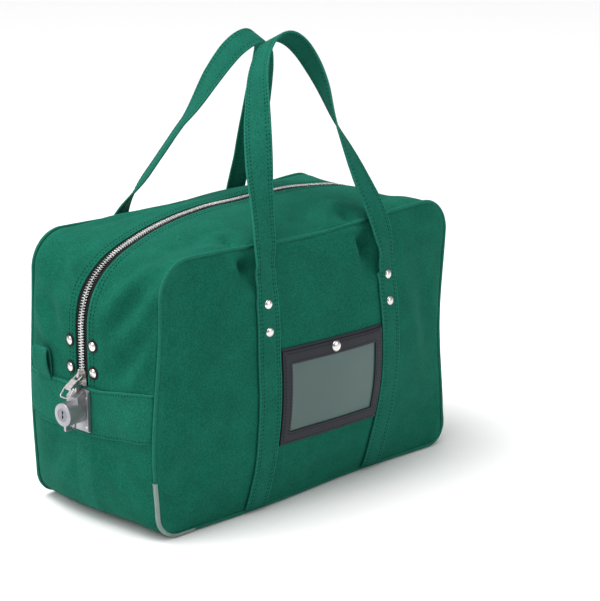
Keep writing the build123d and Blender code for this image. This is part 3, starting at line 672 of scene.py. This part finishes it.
for word, side in SIDES.items():
    canvas_panel(word, side)
    piping(word, side)
    gusset_strip(
        f"top_canvas_{word}", side * ZIP_SLOT, side * EDGE, ABOVE, CANVAS, [f"top_gusset_{word}"], across=34
    )
gusset_strip("lower_canvas", -EDGE, EDGE, BELOW, CANVAS, ["lower_gusset"], across=64)
end_band("left", -1)
end_band("right", 1)

# ---------------------------------------------------------------- stitches


def stitches(
    name, rows, material, body="bag", long=2.7 * MM, gap=1.5 * MM, wide=1.3 * MM, rise=0.4 * MM
):
    """Lines of thread: each row is a list of places with their outward directions."""
    shape = Shape()
    for row in rows:
        lengths = [0.0]
        for (a, _), (b, _) in zip(row, row[1:]):
            lengths.append(lengths[-1] + (b - a).length)
        at, piece_no = gap, 0
        while at + long < lengths[-1]:
            ends = []
            for mark in (at, at + long):
                while piece_no < len(lengths) - 2 and lengths[piece_no + 1] < mark:
                    piece_no += 1
                span = max(lengths[piece_no + 1] - lengths[piece_no], 1e-9)
                share = (mark - lengths[piece_no]) / span
                (a, out_a), (b, out_b) = row[piece_no], row[piece_no + 1]
                ends.append((a.lerp(b, share), out_a.lerp(out_b, share).normalized()))
            (start, out), (stop, _) = ends
            middle = (start + stop) / 2
            along = (stop - start).normalized()
            across = along.cross(out).normalized() * wide / 2
            low = middle - out * 0.35 * MM
            tips = [shape.point(start - out * 0.3 * MM), shape.point(stop - out * 0.3 * MM)]
            ring = [
                shape.point(middle + across),
                shape.point(middle + out * rise),
                shape.point(middle - across),
                shape.point(low),
            ]
            for i in range(4):
                j = (i + 1) % 4
                shape.faces.append((tips[0], ring[j], ring[i]))
                shape.faces.append((tips[1], ring[i], ring[j]))
            at += long + gap
    piece = shape.make(name, material, body=body)
    return piece


def gusset_row(y, path, lift=0.25 * MM):
    """Places along the gusset at a distance y from the middle plane, with their outward directions."""
    row = []
    for x, z in path:
        plain, outward = gusset_point(x, z, y)
        row.append((draped(plain, outward, seam_fade(y)) + outward * lift, outward))
    return row


ZIP_STITCH_YS = (13.4 * MM, 18.6 * MM)
zip_rows = [gusset_row(side * y, ABOVE) for side in (-1, 1) for y in ZIP_STITCH_YS]
stitches("zip_stitching", zip_rows, THREAD)
band_rows = []
for side in (-1, 1):
    for z in (BAND_LOW + BAND_STITCH, BAND_HIGH - BAND_STITCH):
        row = [band_point(side, y, z, 1.75 * MM) for y in BAND_YS]
        if side < 0:  # the left row is broken by the zip and the lock
            band_rows += [row[:34], row[47:]]
        else:
            band_rows.append(row)
stitches("band_stitching", band_rows, THREAD)

# ---------------------------------------------------------------- zip


def tape(word, side):
    """One side of the zip's tape, under the canvas edge."""
    path = [(x, z) for x, z in SEAM if z > BAND_HIGH - 1 * MM]
    gusset_strip(
        f"tape_{word}", side * 1.2 * MM, side * 22 * MM, path, TAPE, [f"zip_tape_{word}"],
        lift=-1.5 * MM, thick=0.9 * MM, across=8,
    )


def zip_line():
    """Evenly spaced places of the zip's middle line, with their outward directions."""
    path = [(x, z) for x, z in seam_path(1 * MM, 2400) if z > BAND_HIGH + BAND_LAP]
    fine = gusset_row(0.0, path, -0.6 * MM)
    lengths = [0.0]
    for (a, _), (b, _) in zip(fine, fine[1:]):
        lengths.append(lengths[-1] + (b - a).length)
    return fine, lengths


def teeth():
    """Both rows of teeth. Each is a block with a rounded, narrowed head, clamped on its tape."""
    fine, lengths = zip_line()
    half_pitch = 1.5 * MM
    count = int(lengths[-1] / half_pitch) - 1
    shapes = {side: Shape() for side in (-1, 1)}
    span = 0
    for number in range(1, count):
        side = -1 if number % 2 else 1
        shape = shapes[side]
        mark = number * half_pitch
        while lengths[span + 1] < mark:
            span += 1
        share = (mark - lengths[span]) / (lengths[span + 1] - lengths[span])
        (a, out_a), (b, out_b) = fine[span], fine[span + 1]
        centre = a.lerp(b, share)
        out = out_a.lerp(out_b, share).normalized()
        along = (b - a).normalized()
        across = Vector((0, side, 0))
        # Distance from the middle, half length along the chain and half height at each section
        sections = (
            (-0.9 * MM, 0.3 * MM, 0.7 * MM),
            (-0.7 * MM, 0.5 * MM, 1.15 * MM),
            (1.2 * MM, 0.68 * MM, 1.35 * MM),
            (3.5 * MM, 0.68 * MM, 1.35 * MM),
            (3.8 * MM, 0.5 * MM, 1.0 * MM),
        )
        rows = []
        for reach, half_long, half_high in sections:
            spot = centre + across * reach
            row = []
            for k in range(8):
                angle = math.pi / 8 + k * math.pi / 4
                corner = 1.0 / max(abs(math.cos(angle)), abs(math.sin(angle))) * 0.96
                row.append(
                    shape.point(
                        spot
                        + along * half_long * corner * math.cos(angle)
                        + out * half_high * corner * math.sin(angle)
                    )
                )
            rows.append(row)
        shape.grid(rows, close_u=True, flip=side > 0)
        shape.faces.append(tuple(rows[0]) if side > 0 else tuple(rows[0][::-1]))
        shape.faces.append(tuple(rows[-1][::-1]) if side > 0 else tuple(rows[-1]))
    for side, word in ((-1, "front"), (1, "back")):
        piece = shapes[side].make(f"teeth_{word}", TOOTH, smooth_faces=False)
        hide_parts(f"zip_teeth_{word}")


for word, side in SIDES.items():
    tape(word, side)
teeth()

# ---------------------------------------------------------------- handles and straps

# Each handle's middle line, as x and z in millimetres, from one fold over the top to the other
HANDLE_LINES = {
    "front": (
        (-91, 240.4), (-90, 270), (-82, 303), (-62, 355), (-38, 412), (-14, 460), (14, 487),
        (42, 493), (63, 478), (75, 440), (79, 390), (86, 345), (91, 303), (91, 270), (91, 240.4),
    ),
    "back": (
        (-91, 240.4), (-90, 270), (-83, 303), (-57, 355), (-32, 405), (-14, 450), (6, 480),
        (31, 490), (53, 476), (68, 435), (79, 390), (86, 345), (91, 303), (91, 270), (91, 240.4),
    ),
}
APEX_Z = 0.493  # the handles' highest point, and how far it is from the middle plane
APEX_Y = 0.017
OVER_Z = 0.303  # where a handle leaves the bag's top edge, and how far out it is there
OVER_Y = 0.1085
STRAP_LIFT = 2.2 * MM  # from the panel's cloth to the strap's middle


def catmull(points, along):
    """Point on a Catmull-Rom curve through the points, with along from 0 to 1."""
    spans = len(points) - 1
    span = min(int(along * spans), spans - 1)
    t = along * spans - span
    p1, p2 = points[span], points[span + 1]
    p0 = points[span - 1] if span > 0 else p1 * 2 - p2
    p3 = points[span + 2] if span + 2 <= spans else p2 * 2 - p1
    first = p1 * 2 + (p2 - p0) * t
    return (first + (p0 * 2 - p1 * 5 + p2 * 4 - p3) * t**2 + (p1 * 3 - p0 - p2 * 3 + p3) * t**3) * 0.5


def handle_route(word, side):
    """The strap's middle line from one foot to the other, with the way it faces and its width's direction."""
    fold_y = abs(panel_place(side, STRAP_X, FOLD_Z, STRAP_LIFT)[0].y)
    points = []
    for x, z in HANDLE_LINES[word]:
        x, z = x * MM, z * MM
        if z > OVER_Z:
            y = OVER_Y + (APEX_Y - OVER_Y) * (z - OVER_Z) / (APEX_Z - OVER_Z)
        else:
            share = (z - FOLD_Z) / (OVER_Z - FOLD_Z)
            edge_y = abs(panel_place(side, x, min(z, 0.290), STRAP_LIFT)[0].y)
            y = max(edge_y * (1 - share) + OVER_Y * share, edge_y + 0.4 * MM)
        slid = front_shift(z) if side < 0 else 0.0
        points.append(Vector((x + slid, side * y, z)))
    lean = (points[7] - (points[3] + points[11]) / 2).normalized()
    outward = lean.cross(Vector((1, 0, 0))).normalized()
    if outward.y * side < 0:
        outward = -outward
    route = []
    leg_steps = 60
    low = SEAM_LOW + 6.5 * MM
    for i in range(leg_steps):
        z = low + (FOLD_Z - low) * i / leg_steps
        flare = -3 * MM * (1 - smooth(i / 12))
        place, out = panel_place(side, -STRAP_X + flare, z, STRAP_LIFT)
        route.append((place, out, Vector((1, 0, 0)), (-STRAP_X + flare, z)))
    steps = 170
    for i in range(steps + 1):
        along = i / steps
        here = catmull(points, along)
        ahead, behind = catmull(points, min(along + 0.01, 1)), catmull(points, max(along - 0.01, 0))
        tangent = (ahead - behind).normalized()
        radial = tangent.cross(outward).normalized()
        if radial.dot(lean) < 0:
            radial = -radial
        if tangent.z < 0 and radial.x < 0 or tangent.z > 0 and radial.x > 0:
            radial = -radial
        turn = smooth((here.z - OVER_Z) / (APEX_Z - OVER_Z)) * math.pi / 2
        if side > 0 and along < 0.5:
            turn = max(turn, math.radians(46) * smooth((here.z - 0.27) / 0.07))
        facing = outward * math.cos(turn) + radial * math.sin(turn)
        flat = panel_place(side, here.x, min(here.z, 0.28))[1]
        facing = flat.lerp(facing, smooth((here.z - 0.25) / 0.05)).normalized()
        width = tangent.cross(facing).normalized()
        ripple = noise.noise(here * 22 + Vector((side, 0, 0))) * 1.2 * MM * smooth((here.z - 0.31) / 0.05)
        route.append((here + facing * ripple, facing, width * side * -1, None))
    for i in range(leg_steps):
        z = FOLD_Z - (FOLD_Z - low) * (i + 1) / leg_steps
        flare = 3 * MM * (1 - smooth((leg_steps - i - 1) / 12))
        place, out = panel_place(side, STRAP_X + flare, z, STRAP_LIFT)
        route.append((place, out, Vector((-1, 0, 0)), (STRAP_X + flare, z)))
    fixed = []
    previous = None
    for place, out, wide, plain in route:
        if previous is not None and wide.dot(previous) < 0:
            wide = -wide
        previous = wide
        fixed.append((place, out, wide, plain))
    return fixed


# The strap's section: shares of half its width and of half its thickness
SECTION = (
    (-1.0, 0.35), (-0.97, 0.95), (-0.91, 1.05), (-0.84, 0.9), (-0.73, 1.05), (-0.62, 0.88), (-0.5, 1.02),
    (0, 1.1),
    (0.5, 1.02), (0.62, 0.88), (0.73, 1.05), (0.84, 0.9), (0.91, 1.05), (0.97, 0.95), (1.0, 0.35),
)
AROUND = SECTION + tuple((a, -b) for a, b in reversed(SECTION))
STITCH_LINES = (-0.84, -0.62, 0.62, 0.84)  # in shares of half the strap's width
STITCH_LEVEL = (0.95, 0.93, 0.93, 0.95)  # in shares of half the strap's thickness


def strap(word, side):
    """One whole strap: up the panel, over as the handle and down again, with its stitched edges."""
    route = handle_route(word, side)
    shape = Shape()
    rows = []
    length = 0.0
    half_w, half_t = STRAP_W / 2, STRAP_T / 2
    stitch_rows = [[] for _ in range(8)]
    for i, (place, out, wide, plain) in enumerate(route):
        if i:
            length += (place - route[i - 1][0]).length
        half = half_w * (1 + 0.015 * noise.noise(place * 60))
        row = []
        for a, b in AROUND:
            local = place + wide * half * a
            if plain:
                local = panel_place(side, plain[0] + wide.x * half * a, plain[1], STRAP_LIFT)[0]
            wear_and_painted_light = 0.95 if abs(a) > 0.9 else 0.3
            row.append(shape.point(local + out * half_t * b, length, half * a + (0.04 if b < 0 else 0), wear_and_painted_light))
        rows.append(row)
        for k, a in enumerate(STITCH_LINES):
            local = place + wide * half * a
            if plain:
                local = panel_place(side, plain[0] + wide.x * half * a, plain[1], STRAP_LIFT)[0]
            stitch_rows[k].append((local + out * half_t * STITCH_LEVEL[k], out))
            if not plain:
                stitch_rows[k + 4].append((local - out * half_t * STITCH_LEVEL[k], -out))
    shape.grid(rows, close_u=True)
    shape.faces.append(tuple(rows[0][::-1]))
    shape.faces.append(tuple(rows[-1]))
    piece = shape.make(f"{word}_strap", STRAP, body=None)
    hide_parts(f"{word}_strap_legs", f"{word}_handle_loop")
    thread = stitches(
        f"{word}_strap_stitching", stitch_rows, THREAD, body=None, long=3.0 * MM, wide=1.5 * MM, rise=0.5 * MM
    )
    # The strap's and its stitching's placements are baked into their meshes
    for bent in (piece, thread):
        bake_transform(bent)


for word, side in SIDES.items():
    strap(word, side)

# ---------------------------------------------------------------- domed rivets and the snap


def cap(shape, centre, out, radius, rise, rim=0.5 * MM):
    """A polished dome with a rolled rim, standing on the cloth."""
    first = out.orthogonal().normalized()
    second = out.cross(first)
    profile = [(radius * 0.96, -0.5 * MM), (radius, 0.1 * MM), (radius * 0.97, rim)]
    for i in range(1, 8):
        angle = math.pi / 2 * i / 8
        profile.append((radius * 0.93 * math.cos(angle), rim + (rise - rim) * math.sin(angle)))
    rows = []
    for reach, height in profile:
        row = []
        for k in range(28):
            angle = 2 * math.pi * k / 28
            spoke = first * math.cos(angle) + second * math.sin(angle)
            row.append(shape.point(centre + spoke * reach + out * height))
        rows.append(row)
    shape.grid(rows, close_u=True)
    top = shape.point(centre + out * rise)
    for k in range(28):
        shape.faces.append((rows[-1][k], rows[-1][(k + 1) % 28], top))
    shape.faces.append(tuple(rows[0][::-1]))


STRAP_CAP_R = 5.2 * MM
for word, side in SIDES.items():
    shape = Shape()
    low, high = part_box(f"{word}_handle_rivets")
    for x in (-STRAP_X, STRAP_X):
        for z in (low.z + STRAP_CAP_R, high.z - STRAP_CAP_R):
            place, out = panel_place(side, x, z, STRAP_LIFT + STRAP_T / 2)
            cap(shape, place, out, STRAP_CAP_R, 2.3 * MM)
    piece = shape.make(f"{word}_strap_rivets", NICKEL)
    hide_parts(f"{word}_handle_rivets")

# ---------------------------------------------------------------- window pocket

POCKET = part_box("pocket_backing")
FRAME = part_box("pocket_frame")
WINDOW_HALF = 62 * MM
WINDOW_LOW, WINDOW_HIGH = POCKET[0].z + 14 * MM, FRAME[1].z - 15 * MM
SNAP_Z = (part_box("snap_cap")[0].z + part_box("snap_cap")[1].z) / 2


def pocket_sheet(name, xs, zs, lift, skip, material, nodes, thick, edge_drop=0.0):
    """A sheet on the front panel over the grid xs by zs, leaving out the cells that skip names."""
    shape = Shape()
    numbers = {}
    for i, x in enumerate(xs):
        for j, z in enumerate(zs):
            on_edge = i in (0, len(xs) - 1) or j in (0, len(zs) - 1)
            place, _ = panel_place(-1, x, z, lift - (edge_drop if on_edge else 0))
            numbers[i, j] = shape.point(place, x, z)
    for i in range(len(xs) - 1):
        for j in range(len(zs) - 1):
            if not skip((xs[i] + xs[i + 1]) / 2, (zs[j] + zs[j + 1]) / 2):
                corners = ((i, j), (i + 1, j), (i + 1, j + 1), (i, j + 1))
                shape.faces.append(tuple(numbers[corner] for corner in corners))
    piece = shape.make(name, material, solid=thick)
    bevel = piece.modifiers.new("soft_edges", "BEVEL")
    bevel.width = 0.3 * MM
    bevel.segments = 2
    bevel.limit_method = "ANGLE"
    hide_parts(*nodes)


def spread(low, high, count, *stops):
    """Even values from low to high, with the stops among them."""
    fixed = {round(stop, 6) for stop in stops}
    values = fixed | {round(low + (high - low) * i / count, 6) for i in range(count + 1)}
    merged = []
    for value in sorted(values):
        if merged and value - merged[-1] < 1.2 * MM:
            if value in fixed:
                merged[-1] = value
            continue
        merged.append(value)
    return merged


def in_window(x, z):
    return abs(x) < WINDOW_HALF and WINDOW_LOW < z < WINDOW_HIGH


def nowhere(x, z):
    return False


pocket_x = spread(POCKET[0].x, POCKET[1].x, 48, -WINDOW_HALF, WINDOW_HALF)
back_z = spread(POCKET[0].z, POCKET[1].z, 34)
front_z = spread(FRAME[0].z, FRAME[1].z, 34, WINDOW_LOW, WINDOW_HIGH)
clear_x = spread(-WINDOW_HALF - 4 * MM, WINDOW_HALF + 4 * MM, 40)
clear_z = spread(WINDOW_LOW - 4 * MM, WINDOW_HIGH + 2 * MM, 26)
pocket_sheet(
    "pocket_back", pocket_x, back_z, 1.5 * MM, nowhere, VINYL, ["pocket_backing"], thick=0.9 * MM
)
pocket_sheet(
    "pocket_front", pocket_x, front_z, 3.6 * MM, in_window, VINYL, ["pocket_frame", "pocket_welt"],
    thick=1.3 * MM, edge_drop=0.7 * MM,
)
pocket_sheet(
    "pocket_clear", clear_x, clear_z, 2.0 * MM, nowhere, WINDOW, ["pocket_window"], thick=0.4 * MM
)


def box_row(half, low, high, lift):
    """Places round a rectangle on the front panel."""
    corners = [(-half, low), (half, low), (half, high), (-half, high), (-half, low)]
    rows = []
    for (x0, z0), (x1, z1) in zip(corners, corners[1:]):
        row = [panel_place(-1, x0 + (x1 - x0) * i / 30, z0 + (z1 - z0) * i / 30, lift) for i in range(31)]
        rows.append(row)
    return rows


POCKET_TOP = 3.7 * MM  # how far the pocket's face stands off the panel
OUTER_IN = 3 * MM  # the outer stitching's distance from the pocket's edge
INNER_OUT = 2.6 * MM  # the inner stitching's distance from the window
outer = box_row(POCKET[1].x - OUTER_IN, FRAME[0].z + OUTER_IN, FRAME[1].z - OUTER_IN, POCKET_TOP)
inner = box_row(WINDOW_HALF + INNER_OUT, WINDOW_LOW - INNER_OUT, WINDOW_HIGH + INNER_OUT, POCKET_TOP)
stitches("pocket_stitching", outer + inner, DARK_THREAD, long=2.4 * MM, wide=1.1 * MM)

snap = Shape()
snap_place, snap_out = panel_place(-1, 0, SNAP_Z, POCKET_TOP)
cap(snap, snap_place, snap_out, 6.2 * MM, 2.6 * MM)
snap_piece = snap.make("snap_dome", NICKEL)
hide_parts("snap_cap")

# ---------------------------------------------------------------- finger loop


def finger_loop():
    """A strap folded into a loop, its two ends sewn in at the top edge of the band."""
    low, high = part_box("side_loop")
    shape = Shape()
    rows = []
    tall = high.z - low.z
    # The strap's path seen from the side: distance out from the cloth and height, as shares of tall
    path = [(0.02, -0.12), (0.03, 0.15), (0.05, 0.45), (0.09, 0.75), (0.15, 0.93), (0.24, 1.0), (0.32, 0.93)]
    path += [(0.35, 0.75), (0.31, 0.45), (0.20, 0.18), (0.10, 0.0), (0.07, -0.12)]
    fine = [catmull([Vector((a, b, 0)) for a, b in path], i / 44) for i in range(45)]
    for j in range(15):
        y = low.y + (high.y - 3 * MM - low.y) * j / 14
        plain, out = gusset_point(-HALF_LENGTH + 1 * MM, low.z, y)
        base = draped(plain, out)
        row = []
        for i, spot in enumerate(fine):
            stand = 0.72 * spot.x * tall + 1.0 * MM
            wear_and_painted_light = 0.8 if j in (0, 14) else 0.3
            place = Vector((base.x, y, low.z + spot.y * tall)) + out * stand
            row.append(shape.point(place, i * tall / 20, y, wear_and_painted_light))
        rows.append(row)
    shape.grid(rows)
    piece = shape.make("finger_strap", STRAP, solid=1.7 * MM, offset=0.0)
    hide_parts("side_loop")


finger_loop()

# ---------------------------------------------------------------- corner guard


SLEEVE_TOP = 69 * MM
SLEEVE_REACH = 50 * MM  # along the bottom, from the bag's end


def corner_sleeve():
    """The clear sleeve over the piping at the near bottom corner."""
    shape = Shape()
    seam = seam_path(PIPING_R, 700)
    path = [(x, z) for x, z in seam if x < -HALF_LENGTH + SLEEVE_REACH and z < SLEEVE_TOP]
    centres = [hang(Vector((x, -HALF_DEPTH, z))) for x, z in path]
    for centre in centres:
        centre.z = max(centre.z, COVER_R + 0.8 * MM)
    rows = []
    for i, centre in enumerate(centres):
        forward = (centres[min(i + 1, len(centres) - 1)] - centres[max(i - 1, 0)]).normalized()
        away = forward.cross(Vector((0, 1, 0))).normalized()
        if away.dot(centre - HEART) < 0:
            away = -away
        row = []
        for j in range(13):
            angle = math.radians(-75 + 200 * j / 12)
            spoke = away * math.cos(angle) + Vector((0, -1, 0)) * math.sin(angle)
            row.append(shape.point(centre + spoke * (COVER_R + 0.3 * MM), i * MM, j * MM))
        rows.append(row)
    shape.grid(rows)
    piece = shape.make("corner_sleeve", GUARD, solid=0.4 * MM, offset=1.0)
    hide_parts("corner_guard")


corner_sleeve()

# ---------------------------------------------------------------- metal and hidden CAD parts

FINISH = {
    "zip_end_rivets": NICKEL, "zip_end_burrs": NICKEL, "zip_end_washers": WASHER, "zip_end_stop": TOOTH,
    "zip_slider": SLIDER, "zip_pull": SLIDER, "pull_ring": SLIDER,
    "lock_housing": CAST, "lock_base_plate": CAST, "lock_plug": PLUG, "lock_bolt": PLUG,
    "lock_rivets": NICKEL, "lock_backing_plate": CAST, "base_board": BOARD,
    "front_handle_burrs": NICKEL, "back_handle_burrs": NICKEL,
    "snap_socket": NICKEL, "snap_stud": NICKEL, "snap_post": NICKEL,
}
for name, material in FINISH.items():
    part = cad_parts[name]
    part.data.materials.clear()
    part.data.materials.append(material)
    for face in part.data.polygons:
        face.material_index = 0

# ---------------------------------------------------------------- stage


FLOOR_REACH = 40.0
# Name, place, size and power
LIGHTS = (
    ("key", (-0.8, 0.5, 2.6), 1.6, 42),
    ("fill", (0.9, -2.6, 1.2), 1.6, 17),
    ("rim", (-2.3, 0.9, 1.3), 1.2, 17),
)
LIGHTS_AIM = Vector((0, 0, 0.2))
# The camera that fits the photo's view of the bag
EYE = Vector((-1.5939, -1.6126, 0.8134))
TARGET = Vector((0.08543, 0, 0.18168))
LENS = 125.63


def aim(thing, direction):
    """Turns a light or camera to look along a direction."""
    thing.rotation_euler = direction.to_track_quat("-Z", "Y").to_euler()


def studio():
    """A pale floor, soft lights and the camera."""
    floor_mesh = bpy.data.meshes.new("floor")
    corners = [(x * FLOOR_REACH, y * FLOOR_REACH, 0) for x, y in ((-1, -1), (1, -1), (1, 1), (-1, 1))]
    floor_mesh.from_pydata(corners, [], [(0, 1, 2, 3)])
    floor = bpy.data.objects.new("floor", floor_mesh)
    bpy.context.scene.collection.objects.link(floor)
    pale, _, _ = plain_material("floor_paint", (0.92, 0.92, 0.92), 0.7)
    floor_mesh.materials.append(pale)
    for name, place, size, power in LIGHTS:
        light = bpy.data.lights.new(name, "AREA")
        light.size = size
        light.energy = power
        lamp = bpy.data.objects.new(name, light)
        lamp.location = place
        aim(lamp, LIGHTS_AIM - Vector(place))
        bpy.context.scene.collection.objects.link(lamp)
    sky = bpy.data.lights.new("sky", "SUN")
    sky.angle = math.radians(70)
    sky.energy = 2.1
    sky_lamp = bpy.data.objects.new("sky", sky)
    aim(sky_lamp, Vector((0.35, -0.15, -1)))
    bpy.context.scene.collection.objects.link(sky_lamp)
    world = bpy.data.worlds.new("studio")
    world.use_nodes = True
    world.node_tree.nodes["Background"].inputs["Color"].default_value = (1, 1, 1, 1)
    world.node_tree.nodes["Background"].inputs["Strength"].default_value = 0.42
    bpy.context.scene.world = world
    bpy.context.scene.view_settings.view_transform = "Standard"
    camera = bpy.data.cameras.new("camera")
    camera.lens = LENS
    camera.clip_end = 120
    eye = bpy.data.objects.new("camera", camera)
    eye.location = EYE
    aim(eye, TARGET - EYE)
    bpy.context.scene.collection.objects.link(eye)
    bpy.context.scene.camera = eye


studio()
